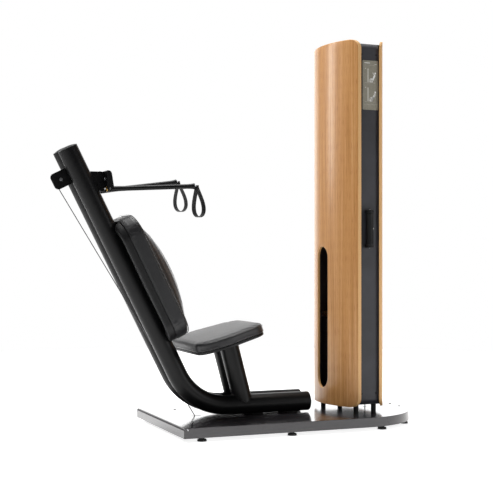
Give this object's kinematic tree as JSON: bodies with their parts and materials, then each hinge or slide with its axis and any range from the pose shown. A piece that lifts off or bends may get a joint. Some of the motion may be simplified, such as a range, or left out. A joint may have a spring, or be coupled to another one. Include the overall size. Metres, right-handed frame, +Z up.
{
  "type": "lat pulldown machine",
  "caption": "Reclined bench on bent twin tubes with webbing hand loops on tilting guide arms, cabled through a low base to a wood-clad weight tower.",
  "frame": {"origin": "middle of the overall box, on the floor", "axes": "+X from the bench back towards the weight tower, +Y across the machine away from the selector side, +Z up"},
  "size_m": [1.8848, 0.772, 1.957],
  "materials": {
    "deck_enamel": "gloss black enamel on sheet steel",
    "black_powder_coat": "satin black powder coat",
    "panel_coat": "matt charcoal powder coat on folded sheet",
    "black_plastic": "satin moulded plastic",
    "vinyl": "soft black upholstery with a fine grain",
    "webbing": "woven black webbing",
    "wood_veneer": "oiled light veneer on bent plywood, grain upright",
    "bright_steel": "turned and brushed steel",
    "coated_cable": "black nylon coat over steel wire rope",
    "brass": "satin turned brass",
    "iron_plate": "painted iron plate",
    "rubber": "black rubber",
    "sign_print": "printed matt panel"
  },
  "bodies": {
    "root": {"base_deck": "deck_enamel", "base_rim": "deck_enamel", "base_crossbars": "black_powder_coat", "levelling_feet": "rubber", "small_screws": "bright_steel", "frame_tube_near": "black_powder_coat", "frame_tube_far": "black_powder_coat", "tube_end_caps": "black_plastic", "frame_saddles": "black_powder_coat", "seat_post_near": "black_powder_coat", "seat_post_far": "black_powder_coat", "seat_mount_plate": "black_powder_coat", "seat_screws": "bright_steel", "seat_board": "black_plastic", "seat_pad": "vinyl", "back_shell": "black_plastic", "back_pad": "vinyl", "rear_bracket": "black_powder_coat", "rear_axle_bolt": "bright_steel", "crosshead_bracket": "black_powder_coat", "crosshead_shell": "black_powder_coat", "turn_sheave_pins": "bright_steel", "drop_sheave_bolts": "bright_steel", "arm_pivot_pins": "bright_steel", "arm_bushes": "brass", "cable_near": "coated_cable", "cable_far": "coated_cable", "base_sheave_brackets": "black_powder_coat", "sheave_pins": "bright_steel", "tower_body": "panel_coat", "shell_rails": "panel_coat", "front_shell": "wood_veneer", "rear_shell": "wood_veneer", "tower_end_covers": "panel_coat", "tower_feet": "rubber", "guide_rods": "bright_steel", "resting_plates": "iron_plate", "top_sheave_bracket": "black_powder_coat", "sign_plate": "sign_print", "selector_lugs": "black_powder_coat", "selector_pins": "bright_steel"},
    "near_arm": {"arm_tube_near": "black_powder_coat", "arm_ferrule_near": "brass"},
    "far_arm": {"arm_tube_far": "black_powder_coat", "arm_ferrule_far": "brass"},
    "near_handle": {"pull_cable_near": "coated_cable", "strap_near": "webbing"},
    "far_handle": {"pull_cable_far": "coated_cable", "strap_far": "webbing"},
    "stack": {"stack_carriage": "iron_plate", "lifted_plates": "iron_plate"},
    "selector": {"selector_drum": "panel_coat"},
    "rear_pulley": {"rear_sheaves": "bright_steel"},
    "base_pulley": {"base_sheaves": "bright_steel"},
    "tower_foot_pulley": {"tower_foot_sheaves": "bright_steel"},
    "tower_top_pulley": {"tower_top_sheaves": "bright_steel"},
    "near_turn_pulley": {"turn_sheave_near": "bright_steel"},
    "far_turn_pulley": {"turn_sheave_far": "bright_steel"},
    "near_drop_pulley": {"drop_sheave_near": "bright_steel"},
    "far_drop_pulley": {"drop_sheave_far": "bright_steel"}
  },
  "joints": [
    {"name": "stack_lift", "type": "slide", "parent": "root", "child": "stack", "axis": [0, 0, 1], "range_m": [0, 0.35]},
    {"name": "near_arm_tilt", "type": "hinge", "parent": "root", "child": "near_arm", "pos_m": [-0.68358, -0.0965, 1.179], "axis": [0, 1, 0], "range_deg": [-8, 30]},
    {"name": "far_arm_tilt", "type": "hinge", "parent": "root", "child": "far_arm", "pos_m": [-0.68358, 0.0965, 1.179], "axis": [0, 1, 0], "range_deg": [-6, 34]},
    {"name": "near_handle_pull", "type": "slide", "parent": "near_arm", "child": "near_handle", "axis": [0.9931, -0.0956, 0.068], "range_m": [0, 0.36]},
    {"name": "far_handle_pull", "type": "slide", "parent": "far_arm", "child": "far_handle", "axis": [0.9834, 0.0947, 0.1547], "range_m": [0, 0.36]},
    {"name": "selector_drum_turn", "type": "hinge", "parent": "root", "child": "selector", "pos_m": [0.62442, -0.255, 0.999], "axis": [0, 0, 1], "range_deg": [-120, 120]},
    {"name": "rear_pulley_spin", "type": "hinge", "parent": "root", "child": "rear_pulley", "pos_m": [-0.89469, 0, 1.22438], "axis": [0, 1, 0], "range_deg": [0, 660]},
    {"name": "base_pulley_spin", "type": "hinge", "parent": "root", "child": "base_pulley", "pos_m": [-0.18358, 0, 0.041], "axis": [0, 1, 0], "range_deg": [0, 1130]},
    {"name": "tower_foot_pulley_spin", "type": "hinge", "parent": "root", "child": "tower_foot_pulley", "pos_m": [0.71442, 0, 0.041], "axis": [0, 1, 0], "range_deg": [0, 1130]},
    {"name": "tower_top_pulley_spin", "type": "hinge", "parent": "root", "child": "tower_top_pulley", "pos_m": [0.68092, 0, 1.847], "axis": [0, 1, 0], "range_deg": [0, 400]},
    {"name": "near_turn_pulley_spin", "type": "hinge", "parent": "root", "child": "near_turn_pulley", "pos_m": [-0.70758, -0.0186, 1.25538], "axis": [0, 0, 1], "range_deg": [-1270, 0]},
    {"name": "far_turn_pulley_spin", "type": "hinge", "parent": "root", "child": "far_turn_pulley", "pos_m": [-0.70758, 0.0186, 1.25538], "axis": [0, 0, 1], "range_deg": [0, 1270]},
    {"name": "near_drop_pulley_spin", "type": "hinge", "parent": "root", "child": "near_drop_pulley", "pos_m": [-0.69158, -0.0685, 1.22738], "axis": [1, 0, 0], "range_deg": [0, 730]},
    {"name": "far_drop_pulley_spin", "type": "hinge", "parent": "root", "child": "far_drop_pulley", "pos_m": [-0.69158, 0.0685, 1.22738], "axis": [1, 0, 0], "range_deg": [-730, 0]}
  ],
  "couplings": [
    {"joint": "near_handle_pull", "follows": "stack_lift", "ratio": 1},
    {"joint": "far_handle_pull", "follows": "stack_lift", "ratio": 1},
    {"joint": "rear_pulley_spin", "follows": "stack_lift", "rad_per_m": 32.258},
    {"joint": "base_pulley_spin", "follows": "stack_lift", "rad_per_m": 55.556},
    {"joint": "tower_foot_pulley_spin", "follows": "stack_lift", "rad_per_m": 55.556},
    {"joint": "tower_top_pulley_spin", "follows": "stack_lift", "rad_per_m": 19.417},
    {"joint": "near_turn_pulley_spin", "follows": "stack_lift", "rad_per_m": -62.5},
    {"joint": "far_turn_pulley_spin", "follows": "stack_lift", "rad_per_m": 62.5},
    {"joint": "near_drop_pulley_spin", "follows": "stack_lift", "rad_per_m": 35.714},
    {"joint": "far_drop_pulley_spin", "follows": "stack_lift", "rad_per_m": -35.714}
  ]
}
